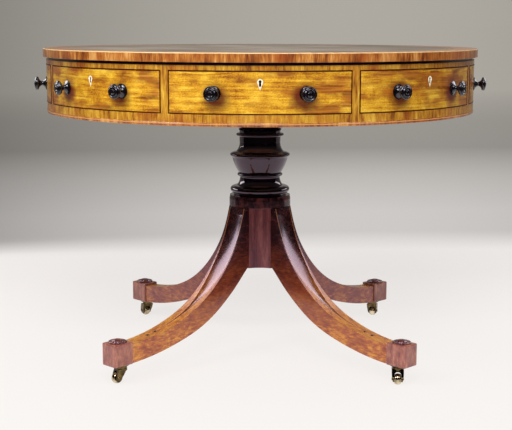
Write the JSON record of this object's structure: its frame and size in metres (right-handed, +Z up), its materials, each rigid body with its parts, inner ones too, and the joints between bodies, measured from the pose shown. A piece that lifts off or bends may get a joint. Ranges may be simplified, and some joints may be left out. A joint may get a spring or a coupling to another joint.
{
  "type": "drum table",
  "caption": "Round revolving drum table with bowed drawers and matching fixed fronts in its frieze, on a turned column with sabre legs, square feet and brass casters.",
  "frame": {"origin": "on the floor under the axis of the column, at the middle of the table's footprint", "axes": "+Z up along the column; the front drawer faces -Y and the legs point to the corners between the axes"},
  "size_m": [1.0926, 1.0926, 0.765],
  "materials": {
    "carcass_pine": "bare softwood, aged",
    "satinwood_banding": "cross-banded veneer, polished",
    "table_leather": "worn brown lining, soft sheen",
    "mahogany_rail": "cross-grained veneer, polished",
    "satinwood_front": "figured golden veneer, polished",
    "ebonised_bead": "ebonised, polished",
    "ebonised_knob": "ebonised turning, polished",
    "bone_inlay": "polished bone inlay",
    "drawer_oak": "bare oak lining",
    "lock_brass": "dull old brass",
    "column_mahogany": "almost black polished mahogany",
    "pedestal_mahogany": "dark polished mahogany",
    "leg_mahogany": "polished mahogany, golden on top",
    "foot_mahogany": "polished mahogany",
    "ebony_peg": "dark end grain",
    "iron": "dark wrought iron",
    "caster_brass": "worn brass"
  },
  "bodies": {
    "pedestal": {"column": "column_mahogany", "pedestal_block": "pedestal_mahogany", "turning_pin": "iron", "bearer_plate": "carcass_pine", "leg_front_left": "leg_mahogany", "leg_front_right": "leg_mahogany", "leg_rear_right": "leg_mahogany", "leg_rear_left": "leg_mahogany", "leg_pegs": "ebony_peg", "leg_strap": "iron", "wood_screws": "iron", "foot_blocks": "foot_mahogany", "foot_roundels": "foot_mahogany", "caster_plates": "caster_brass"},
    "drum": {"top_board": "carcass_pine", "top_banding": "satinwood_banding", "leather_top": "table_leather", "top_rail": "mahogany_rail", "bottom_rail": "mahogany_rail", "base_board": "carcass_pine", "stiles": "mahogany_rail", "partitions": "carcass_pine", "drawer_runners": "carcass_pine", "bearing_block": "carcass_pine", "sham_fronts": "satinwood_front", "sham_beads": "ebonised_bead", "sham_knobs": "ebonised_knob", "sham_escutcheons": "bone_inlay"},
    "front_drawer": {"front_drawer_front": "satinwood_front", "front_drawer_bead": "ebonised_bead", "front_drawer_box": "drawer_oak", "front_drawer_knobs": "ebonised_knob", "front_drawer_escutcheon": "bone_inlay", "front_drawer_lock": "lock_brass"},
    "right_drawer": {"right_drawer_front": "satinwood_front", "right_drawer_bead": "ebonised_bead", "right_drawer_box": "drawer_oak", "right_drawer_knobs": "ebonised_knob", "right_drawer_escutcheon": "bone_inlay", "right_drawer_lock": "lock_brass"},
    "back_drawer": {"back_drawer_front": "satinwood_front", "back_drawer_bead": "ebonised_bead", "back_drawer_box": "drawer_oak", "back_drawer_knobs": "ebonised_knob", "back_drawer_escutcheon": "bone_inlay", "back_drawer_lock": "lock_brass"},
    "left_drawer": {"left_drawer_front": "satinwood_front", "left_drawer_bead": "ebonised_bead", "left_drawer_box": "drawer_oak", "left_drawer_knobs": "ebonised_knob", "left_drawer_escutcheon": "bone_inlay", "left_drawer_lock": "lock_brass"},
    "front_left_caster": {"caster_fork_front_left": "caster_brass"},
    "front_left_wheel": {"caster_wheel_front_left": "caster_brass"},
    "front_right_caster": {"caster_fork_front_right": "caster_brass"},
    "front_right_wheel": {"caster_wheel_front_right": "caster_brass"},
    "rear_right_caster": {"caster_fork_rear_right": "caster_brass"},
    "rear_right_wheel": {"caster_wheel_rear_right": "caster_brass"},
    "rear_left_caster": {"caster_fork_rear_left": "caster_brass"},
    "rear_left_wheel": {"caster_wheel_rear_left": "caster_brass"}
  },
  "joints": [
    {"name": "drum_turn", "type": "hinge", "parent": "pedestal", "child": "drum", "pos_m": [0, 0, 0.612], "axis": [0, 0, 1], "continuous": true},
    {"name": "front_drawer_slide", "type": "slide", "parent": "drum", "child": "front_drawer", "axis": [0, -1, 0], "range_m": [0, 0.22]},
    {"name": "right_drawer_slide", "type": "slide", "parent": "drum", "child": "right_drawer", "axis": [1, 0, 0], "range_m": [0, 0.22]},
    {"name": "back_drawer_slide", "type": "slide", "parent": "drum", "child": "back_drawer", "axis": [0, 1, 0], "range_m": [0, 0.22]},
    {"name": "left_drawer_slide", "type": "slide", "parent": "drum", "child": "left_drawer", "axis": [-1, 0, 0], "range_m": [0, 0.22]},
    {"name": "front_left_caster_swivel", "type": "hinge", "parent": "pedestal", "child": "front_left_caster", "pos_m": [-0.32032, -0.32032, 0.036], "axis": [0, 0, 1], "continuous": true},
    {"name": "front_left_wheel_roll", "type": "hinge", "parent": "front_left_caster", "child": "front_left_wheel", "pos_m": [-0.33071, -0.32632, 0.013], "axis": [0.5, -0.866, 0], "continuous": true},
    {"name": "front_right_caster_swivel", "type": "hinge", "parent": "pedestal", "child": "front_right_caster", "pos_m": [0.32032, -0.32032, 0.036], "axis": [0, 0, 1], "continuous": true},
    {"name": "front_right_wheel_roll", "type": "hinge", "parent": "front_right_caster", "child": "front_right_wheel", "pos_m": [0.31948, -0.33229, 0.013], "axis": [0.9976, -0.0698, 0], "continuous": true},
    {"name": "rear_right_caster_swivel", "type": "hinge", "parent": "pedestal", "child": "rear_right_caster", "pos_m": [0.32032, 0.32032, 0.036], "axis": [0, 0, 1], "continuous": true},
    {"name": "rear_right_wheel_roll", "type": "hinge", "parent": "rear_right_caster", "child": "rear_right_wheel", "pos_m": [0.32343, 0.33191, 0.013], "axis": [-0.9659, 0.2588, 0], "continuous": true},
    {"name": "rear_left_caster_swivel", "type": "hinge", "parent": "pedestal", "child": "rear_left_caster", "pos_m": [-0.32032, 0.32032, 0.036], "axis": [0, 0, 1], "continuous": true},
    {"name": "rear_left_wheel_roll", "type": "hinge", "parent": "rear_left_caster", "child": "rear_left_wheel", "pos_m": [-0.32632, 0.33071, 0.013], "axis": [-0.866, -0.5, 0], "continuous": true}
  ]
}
